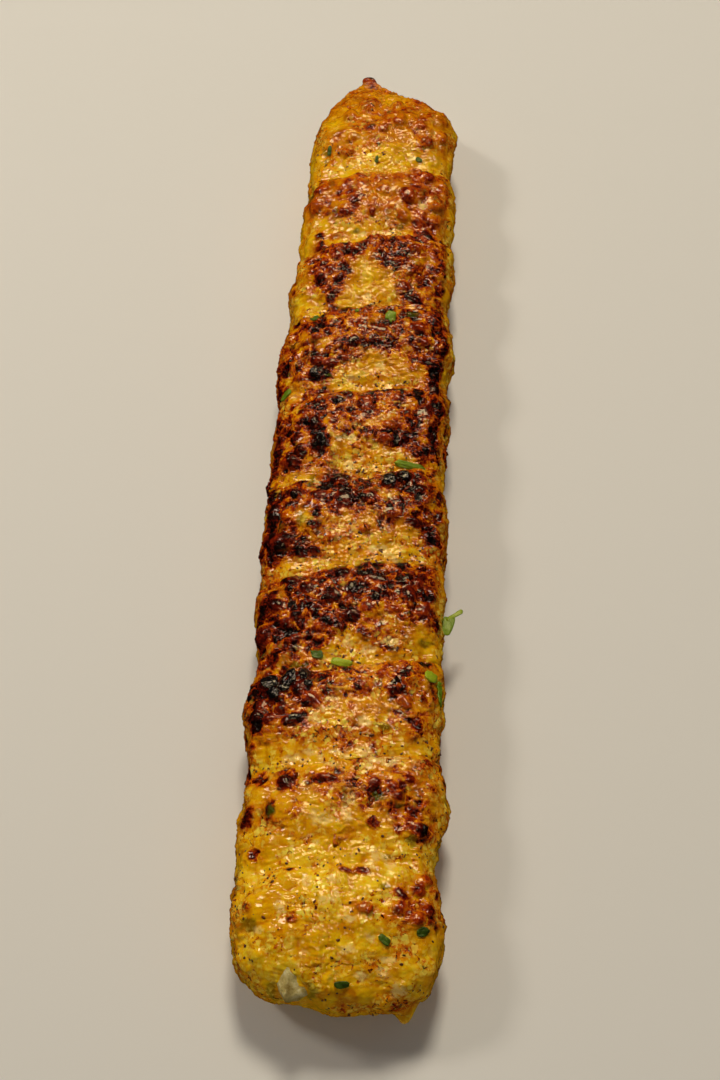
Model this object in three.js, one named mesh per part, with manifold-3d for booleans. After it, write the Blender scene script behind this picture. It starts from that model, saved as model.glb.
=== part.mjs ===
// A grilled chicken kofta, slid off its flat skewer and lying on its underside. Millimetres, +Z up.
//
// The meat is one long log along Y. Its blunt end faces -Y, and the end that was pinched shut over the
// skewer's point faces +Y. Fingers squeezed it onto the skewer, so ten plump bands lie between nine
// slanting creases. Each band climbs gently from its near crease and drops steeply at its far one.
// Chopped herbs and a lump of onion are stuck to the crust. The origin is under the middle, on the table.
import * as THREE from "three";
import { mergeVertices } from "three/addons/utils/BufferGeometryUtils.js";
import Module from "manifold-3d";

// The log
const LENGTH = 260.7; // blunt end to pinched tip
const HALF_WIDTH = { blunt: 21.7, pinched: 20.4, from: 152, to: 227 }; // narrows towards the pinched end
const HALF_THICKNESS = 12.9;
const AXIS = { x: -1.3, y: 2.6 }; // the log is set off so that the whole, with its sprig and scraps, is centred
const SECTION_POWER = 2.7; // 2 is an ellipse; more is squarer
const SINK = 0.9; // how far the soft underside is flattened by its own weight
const BEND = 2.1; // sideways drift of the pinched end

// The blunt end and the pinched end, in plan and from the side
const BLUNT = { length: 24, planPower: 4.3, cornerSkew: 1, sidePower: 2.55, slant: -0.04 };
const PINCH = { length: 28.5, planPower: 1.8, sidePower: 1.05, drift: -5.2, driftPower: 1.3 };
const TIP_KNOB = { radius: 2.1, beyondPinch: 1.2 };
const CALM_TIP = 7; // the grain fades over this last stretch

// The bands that the fingers left, from the blunt end, and the creases between them
const BANDS = [26, 22.5, 22, 24.5, 24.7, 25.1, 24.6, 22.4, 22.7];
const CREASE_DEPTH = { ends: 1.5, middle: 2.9, side: 0.75, underside: 0.6 };
const CREASE_SLANT = { blunt: 0.11, pinched: 0.23 }; // rise towards the pinched end for each mm across
const CREASE_WANDER = { size: 15, reach: 1.3 };
const CREST = { place: 1.75, plumpness: 0.62 }; // where a band is highest, and how full it is

// Where the sides bulge or are hollow: place, which side, how far, and over how long a stretch
const SIDE_BULGES = [
  { along: 13, side: 1, reach: 0.9, long: 6 },
  { along: 37, side: 1, reach: 1.2, long: 6 },
  { along: 64, side: -1, reach: 1.1, long: 7 },
  { along: 100, side: -1, reach: 1.3, long: 14 },
  { along: 156, side: 1, reach: 1.9, long: 6 },
  { along: 170, side: -1, reach: -1.1, long: 6 },
];

// Relief of the minced meat: soft lumps, and the coarse grain that stands up on the crust
const LUMP = { size: 11, reach: 0.8, seed: 3 };
const GRAIN = { size: 5.2, reach: 1.35, seed: 7 };

// Torn scraps at the blunt end, each a cone from its root in the meat to its tip
const SCRAPS = [
  { root: { across: 15.0, along: 3.5, z: 8.5 }, tip: { across: 15.7, along: -4.7, z: 6.5 }, radius: 3.6 },
  { root: { across: 18.0, along: 4.5, z: 10.5 }, tip: { across: 21.6, along: 0.6, z: 10.0 }, radius: 2.4 },
];

// Herb flakes: distance from the blunt end, place across, length, width, turn about the crust's normal
const HERB_THICKNESS = 0.9;
const HERBS = [
  { along: 165.3, across: 6.1, long: 2.8, wide: 3.4, turn: -10 },
  { along: 143.9, across: -18.9, long: 4.0, wide: 2.0, turn: 30 },
  { along: 123.2, across: 12.4, long: 6.6, wide: 1.9, turn: -12 },
  { along: 71.2, across: -1.4, long: 4.8, wide: 1.8, turn: -12 },
  { along: 72.9, across: -7.0, long: 2.8, wide: 1.8, turn: 0 },
  { along: 69.4, across: 18.4, long: 3.6, wide: 2.7, turn: -5 },
  { along: 66.6, across: 20.4, long: 6.0, wide: 1.9, turn: 98 },
  { along: 13.9, across: 18.0, long: 2.8, wide: 2.2, turn: -15 },
  { along: 11.8, across: 10.6, long: 2.6, wide: 1.8, turn: -35 },
  { along: 3.2, across: 2.3, long: 3.0, wide: 1.8, turn: 8 },
];
// One sprig hangs out past the side: a leaf on the crust, and its thin stalk
const SPRIG = {
  along: 83.5,
  z: 13.5,
  leaf: { long: 5.0, wide: 2.8, turn: 75 },
  stalk: { long: 4.2, wide: 1.1, turn: 35 },
};

const ONION = { across: -7.9, along: 1.8, z: 16.3, size: [3.1, 3.0, 3.2], seed: 21 };

// How finely the log is faceted
const AROUND = 50;
const RINGS_IN_BAND = 9;
const RINGS_IN_BLUNT_END = 10;
const RINGS_IN_PINCH = 10;

const clamp01 = (t) => Math.min(1, Math.max(0, t));
const lerp = (a, b, t) => a + (b - a) * t;
const smooth = (from, to, v) => THREE.MathUtils.smoothstep(v, from, to);
const signedPower = (c, power) => Math.sign(c) * Math.abs(c) ** power;

// A repeatable number from 0 to 1 for each lattice point.
function latticeValue(i, j, k, seed) {
  let h = Math.imul(i, 0x27d4eb2d) ^ Math.imul(j, 0x165667b1) ^ Math.imul(k, 0x9e3779b1);
  h ^= Math.imul(seed, 0x85ebca6b);
  h = Math.imul(h ^ (h >>> 15), 0x2c1b3c6d);
  h = Math.imul(h ^ (h >>> 12), 0x297a2d39);
  return ((h ^ (h >>> 15)) >>> 0) / 2 ** 32;
}

// Smooth noise from -1 to 1, whose lumps are about one unit wide.
function softNoise(x, y, z, seed) {
  const cell = [x, y, z].map(Math.floor);
  const ease = [x, y, z].map((c, axis) => (c - cell[axis]) ** 2 * (3 - 2 * (c - cell[axis])));
  let sum = 0;
  for (const di of [0, 1])
    for (const dj of [0, 1])
      for (const dk of [0, 1]) {
        const weight =
          (di ? ease[0] : 1 - ease[0]) * (dj ? ease[1] : 1 - ease[1]) * (dk ? ease[2] : 1 - ease[2]);
        sum += weight * latticeValue(cell[0] + di, cell[1] + dj, cell[2] + dk, seed);
      }
  return 2 * sum - 1;
}

// How far the nearest grain's centre is, in grain sizes.
function nearestGrain(x, y, z, seed) {
  const cell = [x, y, z].map(Math.floor);
  let least = 9;
  for (const di of [-1, 0, 1])
    for (const dj of [-1, 0, 1])
      for (const dk of [-1, 0, 1]) {
        const [i, j, k] = [cell[0] + di, cell[1] + dj, cell[2] + dk];
        const dx = i + latticeValue(i, j, k, seed) - x;
        const dy = j + latticeValue(i, j, k, seed + 1) - y;
        const dz = k + latticeValue(i, j, k, seed + 2) - z;
        least = Math.min(least, dx * dx + dy * dy + dz * dz);
      }
  return Math.sqrt(least);
}

// Creases from the blunt end, with a made-up one beyond each end so that every band has two.
const creases = [-12];
for (const band of BANDS) creases.push(band + Math.max(0, creases.at(-1)));
creases.push(LENGTH + 4);

// 1 on the fullest part of a band, 0 in a crease.
function bandFullness(v) {
  const band = Math.max(0, creases.findLastIndex((crease) => crease <= v));
  const share = clamp01((v - creases[band]) / (creases[band + 1] - creases[band]));
  return Math.sin(Math.PI * share ** CREST.place) ** CREST.plumpness;
}

const PINCH_START = LENGTH - TIP_KNOB.beyondPinch - PINCH.length;

// Half the width and half the thickness, as shares of the full ones, at v from the blunt end. The blunt
// end's corner at +X is squarer than the one at -X, so the share changes with the place across, -1 to 1.
function endRounding(v, across) {
  const blunt = clamp01(1 - v / BLUNT.length);
  const pinch = clamp01((v - PINCH_START) / PINCH.length);
  const corner = BLUNT.planPower + BLUNT.cornerSkew * across;
  const plan = (1 - blunt ** corner) ** (1 / corner) * (1 - pinch ** PINCH.planPower);
  const side = (1 - blunt ** BLUNT.sidePower) ** (1 / BLUNT.sidePower) * (1 - pinch ** PINCH.sidePower);
  return { plan, side, pinch };
}

// The radius of the small round knob that ends the tip, at v from the blunt end.
function knobRadius(v) {
  if (v < PINCH_START) return 0;
  const beyondMiddle = Math.max(0, v - (LENGTH - TIP_KNOB.radius));
  return Math.sqrt(Math.max(0, TIP_KNOB.radius ** 2 - beyondMiddle ** 2));
}

// How far a side bulges at v from the blunt end and across from -1 to 1.
function bulge(v, across) {
  return SIDE_BULGES.reduce((sum, { along, side, reach, long }) => {
    const onThisSide = side * across > 0 ? across ** 2 : 0;
    return sum + side * reach * onThisSide * Math.exp(-(((v - along) / long) ** 2));
  }, 0);
}

// The point of the squeezed log at v from the blunt end and the angle turned round it from +X.
function logPoint(v, angle) {
  const [c, s] = [Math.cos(angle), Math.sin(angle)];
  const norm = (Math.abs(c) ** SECTION_POWER + Math.abs(s) ** SECTION_POWER) ** (1 / SECTION_POWER);
  const [across, up] = [c / norm, s / norm];
  const { plan, side, pinch } = endRounding(v, across);
  const fullWidth = lerp(HALF_WIDTH.blunt, HALF_WIDTH.pinched, smooth(HALF_WIDTH.from, HALF_WIDTH.to, v));
  const outX = signedPower(across, SECTION_POWER - 1) / fullWidth;
  const outZ = signedPower(up, SECTION_POWER - 1) / HALF_THICKNESS;
  const out = Math.hypot(outX, outZ);

  const middle = Math.sin(Math.PI * clamp01(v / LENGTH));
  const face = lerp(CREASE_DEPTH.ends, CREASE_DEPTH.middle, middle) * (s > 0 ? 1 : CREASE_DEPTH.underside);
  const depth = lerp(CREASE_DEPTH.side, face, Math.abs(s) ** 1.3);
  const loose = Math.min(plan, side); // creases run straight out at the ends
  const inset = depth * (1 - bandFullness(v)) * loose;

  const drift = BEND * smooth(HALF_WIDTH.from, HALF_WIDTH.to, v) + PINCH.drift * pinch ** PINCH.driftPower;
  const halfWidth = Math.max(fullWidth * plan, knobRadius(v));
  const halfThickness = Math.max(HALF_THICKNESS * side, knobRadius(v));
  const x = across * halfWidth + bulge(v, across) * plan - (outX / out) * inset;
  const z = up * halfThickness - (outZ / out) * inset;
  const slant = lerp(CREASE_SLANT.blunt, CREASE_SLANT.pinched, v / LENGTH);
  const endSlant = BLUNT.slant * (1 - smooth(0, BLUNT.length, v));
  const w = CREASE_WANDER.size;
  const wander = CREASE_WANDER.reach * softNoise(x / w, v / w, z / w, 1);
  return new THREE.Vector3(
    x + drift,
    v - LENGTH / 2 + loose * (slant * x + wander) + endSlant * x,
    z + HALF_THICKNESS - SINK,
  );
}

// How far the crust stands proud of the squeezed log at a point.
function relief(p) {
  const lump = softNoise(p.x / LUMP.size, p.y / LUMP.size, p.z / LUMP.size, LUMP.seed);
  const grain = nearestGrain(p.x / GRAIN.size, p.y / GRAIN.size, p.z / GRAIN.size, GRAIN.seed);
  const calm = smooth(LENGTH / 2 - CALM_TIP, LENGTH / 2, p.y);
  return lerp(1, 0.25, calm) * (LUMP.reach * lump + GRAIN.reach * (0.55 - grain));
}

// The rings' distances from the blunt end. A ring lies in every crease.
function ringStations() {
  const stations = [];
  for (let i = 0; i <= RINGS_IN_BLUNT_END; i++) {
    const widthShare = Math.sin(((i / RINGS_IN_BLUNT_END) * Math.PI) / 2);
    stations.push(BLUNT.length * (1 - (1 - widthShare ** BLUNT.planPower) ** (1 / BLUNT.planPower)));
  }
  for (let band = 0; band < creases.length - 1; band++)
    for (let i = 0; i < RINGS_IN_BAND; i++) {
      const v = lerp(creases[band], creases[band + 1], i / RINGS_IN_BAND);
      if (v > BLUNT.length + 0.8 && v < PINCH_START - 0.8) stations.push(v);
    }
  for (let i = 0; i <= RINGS_IN_PINCH; i++) {
    const toTip = Math.sin(((i / RINGS_IN_PINCH) * Math.PI) / 2);
    stations.push(lerp(PINCH_START, LENGTH, toTip));
  }
  return stations;
}

// Turns evenly spaced angles so that the facets are as wide on the broad faces as at the sides.
function spreadAngle(angle) {
  const oval = (HALF_WIDTH.blunt - HALF_THICKNESS) / (HALF_WIDTH.blunt + HALF_THICKNESS);
  return angle + (oval / 2) * Math.sin(2 * angle);
}

const onlyPositions = (geometry) => {
  geometry.deleteAttribute("normal");
  geometry.deleteAttribute("uv");
  return mergeVertices(geometry, 1e-4);
};

// The log's closed skin: a sphere's net of facets drawn out along Y, then roughened.
function meatGeometry() {
  const stations = ringStations();
  const sphere = new THREE.SphereGeometry(1, AROUND, stations.length - 1);
  const uv = sphere.getAttribute("uv");
  const position = sphere.getAttribute("position");
  for (let i = 0; i < position.count; i++) {
    const ring = Math.round((1 - uv.getY(i)) * (stations.length - 1));
    const angle = spreadAngle((Math.floor(i % (AROUND + 1)) / AROUND) * 2 * Math.PI);
    const p = logPoint(stations[ring], angle);
    position.setXYZ(i, p.x, p.y, p.z);
  }
  const skin = onlyPositions(sphere);
  skin.computeVertexNormals();
  roughen(skin);
  return skin;
}

function roughen(skin) {
  const [position, normal] = [skin.getAttribute("position"), skin.getAttribute("normal")];
  for (let i = 0; i < position.count; i++) {
    const p = new THREE.Vector3().fromBufferAttribute(position, i);
    const n = new THREE.Vector3().fromBufferAttribute(normal, i);
    p.addScaledVector(n, relief(p));
    position.setXYZ(i, p.x, p.y, Math.max(0, p.z));
  }
}

// The crust's point and outward direction straight up from a place along and across.
function crustAt(skin, along, across) {
  const hits = new THREE.Raycaster(
    new THREE.Vector3(across, along - LENGTH / 2, 3 * HALF_THICKNESS),
    new THREE.Vector3(0, 0, -1),
  ).intersectObject(new THREE.Mesh(skin, new THREE.MeshBasicMaterial()));
  return { point: hits[0].point, out: hits[0].face.normal };
}

// A wavy flake of chopped leaf, lying on its back in XY.
function flakeGeometry(long, wide, seed) {
  const outline = [];
  const corners = 9;
  for (let i = 0; i < corners; i++) {
    const turn = (i / corners) * 2 * Math.PI;
    const ragged = lerp(0.8, 1.15, latticeValue(i, 0, 0, seed));
    const corner = [(Math.cos(turn) * ragged * long) / 2, (Math.sin(turn) * ragged * wide) / 2];
    outline.push(new THREE.Vector2(...corner));
  }
  const flake = new THREE.ExtrudeGeometry(new THREE.Shape(outline), { depth: HERB_THICKNESS, bevelEnabled: false });
  const position = flake.getAttribute("position");
  for (let i = 0; i < position.count; i++) {
    const wave = 0.25 * Math.cos((position.getX(i) / long) * 5 + seed);
    position.setZ(i, position.getZ(i) - HERB_THICKNESS / 2 + wave);
  }
  return flake;
}

// A flake laid on the crust.
function herbGeometry(skin, herb, seed) {
  const { point, out } = crustAt(skin, herb.along, herb.across);
  const flake = flakeGeometry(herb.long, herb.wide, seed);
  flake.rotateZ(THREE.MathUtils.degToRad(herb.turn));
  flake.applyQuaternion(new THREE.Quaternion().setFromUnitVectors(new THREE.Vector3(0, 0, 1), out));
  return flake.translate(point.x, point.y, point.z);
}

// The sprig that stands out from the +X side: its leaf, then its stalk turning away from the leaf's end.
function sprigGeometries() {
  const joint = new THREE.Vector3(HALF_WIDTH.blunt, SPRIG.along - LENGTH / 2, SPRIG.z);
  return [SPRIG.leaf, SPRIG.stalk].map(({ long, wide, turn }, i) => {
    const angle = THREE.MathUtils.degToRad(turn);
    const reach = new THREE.Vector3(Math.cos(angle), Math.sin(angle), 0).multiplyScalar(0.38 * long);
    const middle = joint.add(reach).clone();
    joint.add(reach);
    return flakeGeometry(long, wide, 31 + i).rotateZ(angle).translate(...middle);
  });
}

// A torn scrap of meat: a ragged cone that stands on its root.
function scrapGeometry({ root, tip, radius }, seed) {
  const [from, to] = [root, tip].map((p) => new THREE.Vector3(p.across, p.along - LENGTH / 2, p.z));
  const way = new THREE.Vector3().subVectors(to, from);
  const cone = new THREE.ConeGeometry(radius, way.length(), 8, 3);
  const position = cone.getAttribute("position");
  for (let i = 0; i < position.count; i++) {
    const p = new THREE.Vector3().fromBufferAttribute(position, i);
    const ragged = 1 + 0.25 * softNoise(p.x, p.y / 2, p.z, seed);
    position.setXYZ(i, p.x * ragged, p.y, p.z * ragged);
  }
  cone.applyQuaternion(new THREE.Quaternion().setFromUnitVectors(new THREE.Vector3(0, 1, 0), way.normalize()));
  return cone.translate(...from.add(to).multiplyScalar(0.5));
}

// A chopped piece of onion, as an uneven many-sided lump.
function onionGeometry() {
  const lump = new THREE.IcosahedronGeometry(1, 1);
  const position = lump.getAttribute("position");
  for (let i = 0; i < position.count; i++) {
    const p = new THREE.Vector3().fromBufferAttribute(position, i);
    p.multiplyScalar(1 + 0.16 * softNoise(p.x * 1.4, p.y * 1.4, p.z * 1.4, ONION.seed));
    position.setXYZ(i, p.x, p.y, p.z);
  }
  return lump.scale(...ONION.size).translate(ONION.across, ONION.along - LENGTH / 2, ONION.z);
}

const wasm = await Module();
wasm.setup();

function solidOf(geometry) {
  const merged = geometry.getAttribute("uv") ? onlyPositions(geometry) : geometry;
  return new wasm.Manifold(
    new wasm.Mesh({
      numProp: 3,
      vertProperties: merged.getAttribute("position").array,
      triVerts: new Uint32Array(merged.getIndex().array),
    }),
  );
}

function geometryOf(solid) {
  const mesh = solid.getMesh();
  return new THREE.BufferGeometry()
    .setAttribute("position", new THREE.BufferAttribute(new Float32Array(mesh.vertProperties), 3))
    .setIndex(new THREE.BufferAttribute(mesh.triVerts, 1));
}

// The whole kofta as one solid: the meat, with what is stuck to it joined on.
function koftaGeometry() {
  const skin = meatGeometry();
  const toppings = [
    ...HERBS.map((herb, i) => herbGeometry(skin, herb, i + 1)),
    ...sprigGeometries(),
    ...SCRAPS.map((scrap, i) => scrapGeometry(scrap, i + 41)),
    onionGeometry(),
  ];
  skin.deleteAttribute("normal");
  return geometryOf(toppings.reduce((kofta, topping) => kofta.add(solidOf(topping)), solidOf(skin)));
}

const grilledMeat = new THREE.MeshStandardMaterial({ color: 0xb9731c, roughness: 0.42, metalness: 0 });
const kofta = new THREE.Mesh(koftaGeometry(), grilledMeat);
kofta.name = "kofta";
kofta.geometry.computeVertexNormals();

const part = new THREE.Group();
kofta.position.set(AXIS.x, AXIS.y, 0);
part.add(kofta);

export default part;
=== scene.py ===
"""A grilled chicken kofta, slid off its flat skewer and lying on its underside."""

import math

import bmesh
import bpy
import numpy as np
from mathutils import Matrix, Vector
from mathutils.kdtree import KDTree


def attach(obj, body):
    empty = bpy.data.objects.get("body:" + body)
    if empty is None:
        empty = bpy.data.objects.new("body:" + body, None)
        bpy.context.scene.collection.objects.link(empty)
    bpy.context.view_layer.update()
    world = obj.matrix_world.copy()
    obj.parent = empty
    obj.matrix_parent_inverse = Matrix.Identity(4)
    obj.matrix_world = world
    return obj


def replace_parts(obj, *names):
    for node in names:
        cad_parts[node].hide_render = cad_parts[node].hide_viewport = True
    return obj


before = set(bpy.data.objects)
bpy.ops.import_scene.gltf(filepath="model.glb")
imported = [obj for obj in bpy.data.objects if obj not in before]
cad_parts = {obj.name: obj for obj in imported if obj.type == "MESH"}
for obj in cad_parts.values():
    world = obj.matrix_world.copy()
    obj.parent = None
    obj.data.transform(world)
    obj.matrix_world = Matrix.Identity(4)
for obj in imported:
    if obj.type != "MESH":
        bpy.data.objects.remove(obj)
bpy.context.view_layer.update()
scene = bpy.context.scene

# ---------- Camera
# The camera looks down the log from above its blunt end, so the bands shrink towards the tip.
# Its lens is a little longer than normal.
CAMERA_PLACE = Vector((0.00676, -0.17235, 0.29862))
CAMERA_DOWN = math.radians(62)
CAMERA_TURN = math.radians(-2.63)
SENSOR = 36
FOCAL_LENGTH = 45.03

camera_data = bpy.data.cameras.new("camera")
camera_data.sensor_width = SENSOR
camera_data.lens = FOCAL_LENGTH
camera_data.clip_start = 0.01
camera = bpy.data.objects.new("camera", camera_data)
camera.location = CAMERA_PLACE
camera.rotation_euler = (math.pi / 2 - CAMERA_DOWN, 0, -CAMERA_TURN)
scene.collection.objects.link(camera)
scene.camera = camera

# ---------- The squeezed log
# Minced chicken with turmeric, pressed round a flat blade by hand. The fingers left ten plump bands
# between slanting creases, and the fire browned each band's crest and blackened its blisters.
# Lengths are in millimetres until the mesh is written, and v is the distance from the blunt end.
MM = 0.001
LENGTH = 260.7
HALF_WIDTH = {"blunt": 21.7, "pinched": 20.4, "from": 152, "to": 227}
HALF_THICKNESS = 12.9
AXIS = np.array((-1.3, 2.6, 0))
SECTION_POWER = 2.7
SINK = 0.9
BEND = 2.1
BLUNT = {"length": 24, "plan_power": 4.3, "corner_skew": 1, "side_power": 2.55, "slant": -0.04}
PINCH = {"length": 28.5, "plan_power": 1.8, "side_power": 1.05, "drift": -5.2, "drift_power": 1.3}
TIP_KNOB = {"radius": 2.1, "beyond_pinch": 1.2}
# How far apart the creases are, and how far beyond the two ends the outermost ones would be
BANDS = (26, 22.5, 22, 24.5, 24.7, 25.1, 24.6, 22.4, 22.7)
BEYOND_ENDS = (12, 4)
CREASE_DEPTH = {"ends": 1.5, "middle": 2.9, "side": 0.75, "underside": 0.6, "power": 1.3}
CREASE_SLANT = {"blunt": 0.11, "pinched": 0.23}
CREST = {"place": 1.75, "plumpness": 0.62}
# Where the sides bulge or are hollow: distance from the blunt end, which side, how far, how long
SIDE_BULGES = (
    (13, 1, 0.9, 6), (37, 1, 1.2, 6), (64, -1, 1.1, 7), (100, -1, 1.3, 14), (156, 1, 1.9, 6),
    (170, -1, -1.1, 6),
)
GRAIN = {"size": 5.2, "reach": 1.35, "edge": 0.55, "seed": 7}
# Layers of unevenness in the creases' course and in the flesh: each one's reach, size and seed
CREASE_WANDER = ((1.3, 15, 1),)
LUMPS = ((0.8, 11, 3),)
# The grill's bars press down what swells above a height, and take off a share of it
PRESSED = {"above": 25.3, "share": 0.6}
# Torn scraps at the blunt end: place across and up, how far each sticks out, and its radius
SCRAPS = ((15.7, 6.5, 5.3, 2.5), (20.6, 10, 2.6, 1.8), (-12.5, 7, 0.8, 3.4), (5.6, 8, 1.3, 6))
# The log's skin is made in three lengths, parted in two of the creases
CUTS = (95, 169.4)
# Each length's net: how many points go round it, how many rings it has, and how much denser it is on top
AROUND = 184
RINGS = 508
DENSER_ON_TOP = 0.38

CREASES = np.concatenate(([-BEYOND_ENDS[0]], np.cumsum(BANDS), [LENGTH + BEYOND_ENDS[1]]))
PINCH_START = LENGTH - TIP_KNOB["beyond_pinch"] - PINCH["length"]


def smooth(start, end, value):
    """0 before start, 1 after end, and an easy curve between."""
    t = np.clip((value - start) / (end - start), 0, 1)
    return t * t * (3 - 2 * t)


def mix(a, b, t):
    return a + (b - a) * t


def lattice_value(i, j, k, seed):
    """A repeatable number from 0 to 1 for each lattice point."""
    i, j, k = (np.asarray(c).astype(np.int64).astype(np.uint32) for c in (i, j, k))
    h = i * np.uint32(0x27D4EB2D) ^ j * np.uint32(0x165667B1) ^ k * np.uint32(0x9E3779B1)
    h = h ^ np.uint32(seed * 0x85EBCA6B & 0xFFFFFFFF)
    h = (h ^ (h >> np.uint32(15))) * np.uint32(0x2C1B3C6D)
    h = (h ^ (h >> np.uint32(12))) * np.uint32(0x297A2D39)
    return (h ^ (h >> np.uint32(15))) / 2.0**32


def soft_noise(points, size, seed):
    """Smooth noise from -1 to 1, whose lumps are about one size wide."""
    at = points / size
    cell = np.floor(at)
    ease = (at - cell) ** 2 * (3 - 2 * (at - cell))
    total = 0
    for corner in np.ndindex(2, 2, 2):
        weight = np.prod(np.where(corner, ease, 1 - ease), axis=1)
        total = total + weight * lattice_value(*(cell + corner).T, seed)
    return 2 * total - 1


def layered_noise(points, layers):
    """Soft noises added up, each given by its reach, its size and its seed."""
    return sum(reach * soft_noise(points, size, seed) for reach, size, seed in layers)


def noise_each_way(points, size, seed):
    """Soft noise of its own in each of the three directions."""
    return np.stack([soft_noise(points, size, seed + i) for i in range(3)], axis=1)


def nearest_grain(points, size, seed):
    """How far the nearest grain's centre is, in grain sizes. The grains lie in a jittered lattice."""
    at = points / size
    cell = np.floor(at)
    nearest = np.inf
    for step in np.ndindex(3, 3, 3):
        corner = (cell + step - 1).T
        middle = corner + [lattice_value(*corner, seed + axis) for axis in range(3)]
        nearest = np.minimum(nearest, np.linalg.norm(middle.T - at, axis=1))
    return nearest


def band_of(v):
    """Which band a place lies in, and how far it is from that band's near crease to its far one."""
    band = np.clip(np.searchsorted(CREASES, v, side="right") - 1, 0, len(BANDS))
    share = np.clip((v - CREASES[band]) / (CREASES[band + 1] - CREASES[band]), 0, 1)
    return band, share


def end_rounding(v, across):
    """Half the width and half the thickness, as shares of the full ones, and how far into the pinch."""
    blunt = np.clip(1 - v / BLUNT["length"], 0, 1)
    pinch = np.clip((v - PINCH_START) / PINCH["length"], 0, 1)
    corner = BLUNT["plan_power"] + BLUNT["corner_skew"] * across
    plan = (1 - blunt**corner) ** (1 / corner) * (1 - pinch ** PINCH["plan_power"])
    side = (1 - blunt ** BLUNT["side_power"]) ** (1 / BLUNT["side_power"])
    return plan, side * (1 - pinch ** PINCH["side_power"]), pinch


def knob_radius(v):
    """The radius of the small knob that ends the tip."""
    beyond_middle = np.maximum(0, v - (LENGTH - TIP_KNOB["radius"]))
    radius = np.sqrt(np.maximum(0, TIP_KNOB["radius"] ** 2 - beyond_middle**2))
    return np.where(v > PINCH_START, radius, 0)


def bulge(v, across):
    """How far a side stands out past the plain outline."""
    total = 0
    for along, side, reach, long in SIDE_BULGES:
        on_this_side = np.where(side * across > 0, across**2, 0)
        total = total + side * reach * on_this_side * np.exp(-(((v - along) / long) ** 2))
    return total


def log_points(v, angle):
    """The squeezed log's surface at v from the blunt end and the angle turned round it from +X."""
    c, s = np.cos(angle), np.sin(angle)
    norm = (np.abs(c) ** SECTION_POWER + np.abs(s) ** SECTION_POWER) ** (1 / SECTION_POWER)
    across, up = c / norm, s / norm
    plan, side, pinch = end_rounding(v, across)
    narrowing = smooth(HALF_WIDTH["from"], HALF_WIDTH["to"], v)
    full_width = mix(HALF_WIDTH["blunt"], HALF_WIDTH["pinched"], narrowing)
    out_x = np.sign(across) * np.abs(across) ** (SECTION_POWER - 1) / full_width
    out_z = np.sign(up) * np.abs(up) ** (SECTION_POWER - 1) / HALF_THICKNESS
    out = np.hypot(out_x, out_z)

    middle = np.sin(np.pi * np.clip(v / LENGTH, 0, 1))
    face = mix(CREASE_DEPTH["ends"], CREASE_DEPTH["middle"], middle)
    face = face * np.where(s > 0, 1, CREASE_DEPTH["underside"])
    depth = mix(CREASE_DEPTH["side"], face, np.abs(s) ** CREASE_DEPTH["power"])
    share = band_of(v)[1]
    fullness = np.sin(np.pi * share ** CREST["place"]) ** CREST["plumpness"]
    loose = np.minimum(plan, side)
    inset = depth * (1 - fullness) * loose

    drift = BEND * narrowing + PINCH["drift"] * pinch ** PINCH["drift_power"]
    half_width = np.maximum(full_width * plan, knob_radius(v))
    half_thickness = np.maximum(HALF_THICKNESS * side, knob_radius(v))
    x = across * half_width + bulge(v, across) * plan - out_x / out * inset
    z = up * half_thickness - out_z / out * inset
    slant = mix(CREASE_SLANT["blunt"], CREASE_SLANT["pinched"], v / LENGTH)
    end_slant = BLUNT["slant"] * (1 - smooth(0, BLUNT["length"], v))
    wander = layered_noise(np.stack((x, v, z), axis=1), CREASE_WANDER)
    y = v - LENGTH / 2 + loose * (slant * x + wander) + end_slant * x
    return np.stack((x + drift, y, z + HALF_THICKNESS - SINK), axis=1)


def log_normals(v, angle):
    """The direction straight out of the squeezed log's surface."""
    step, margin = 0.25, 0.02
    v = np.clip(v, margin, LENGTH - margin)
    nearer, farther = np.maximum(v - step, 0), np.minimum(v + step, LENGTH)
    along = log_points(farther, angle) - log_points(nearer, angle)
    around = log_points(v, angle + step / 20) - log_points(v, angle - step / 20)
    out = np.cross(along, around)
    return out / np.linalg.norm(out, axis=1)[:, None]


def ring_stations(start, end):
    """Each ring's distance from the blunt end, evenly spaced along the skin, with one at each cut."""
    towards_end = np.linspace(0, 1, 4001) ** 4
    v = np.unique(np.concatenate((LENGTH * towards_end, LENGTH * (1 - towards_end))))
    v = np.concatenate(([start], v[(v > start) & (v < end)], [end]))
    plan, side, _ = end_rounding(v, 0)
    # About how far the skin comes in where an end rounds off, seen from above and from the side
    inwards, downwards = 15, 8
    steps = np.sqrt(np.diff(v) ** 2 + (inwards * np.diff(plan)) ** 2 + (downwards * np.diff(side)) ** 2)
    walked = np.concatenate(([0], np.cumsum(steps)))
    cut_ends = (start > 0) + (end < LENGTH)
    stations = np.interp(np.linspace(0, walked[-1], RINGS + 1 - cut_ends), walked, v)
    return np.concatenate(([start] * (start > 0), stations, [end] * (end < LENGTH)))


def mesh_from(bm, name):
    """Ends a bmesh as a mesh of that name."""
    mesh = bpy.data.meshes.new(name)
    bm.to_mesh(mesh)
    bm.free()
    return mesh


def read_points(mesh, what="co"):
    values = np.empty(len(mesh.vertices) * 3, np.float32)
    mesh.vertices.foreach_get(what, values)
    return values.reshape(-1, 3).astype(float)


def write_points(mesh, points):
    mesh.vertices.foreach_set("co", points.astype(np.float32).ravel())
    mesh.update()


def add_attributes(mesh, **named_values):
    for name, values in named_values.items():
        mesh.attributes.new(name, "FLOAT", "POINT").data.foreach_set("value", values.astype(np.float32))


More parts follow.
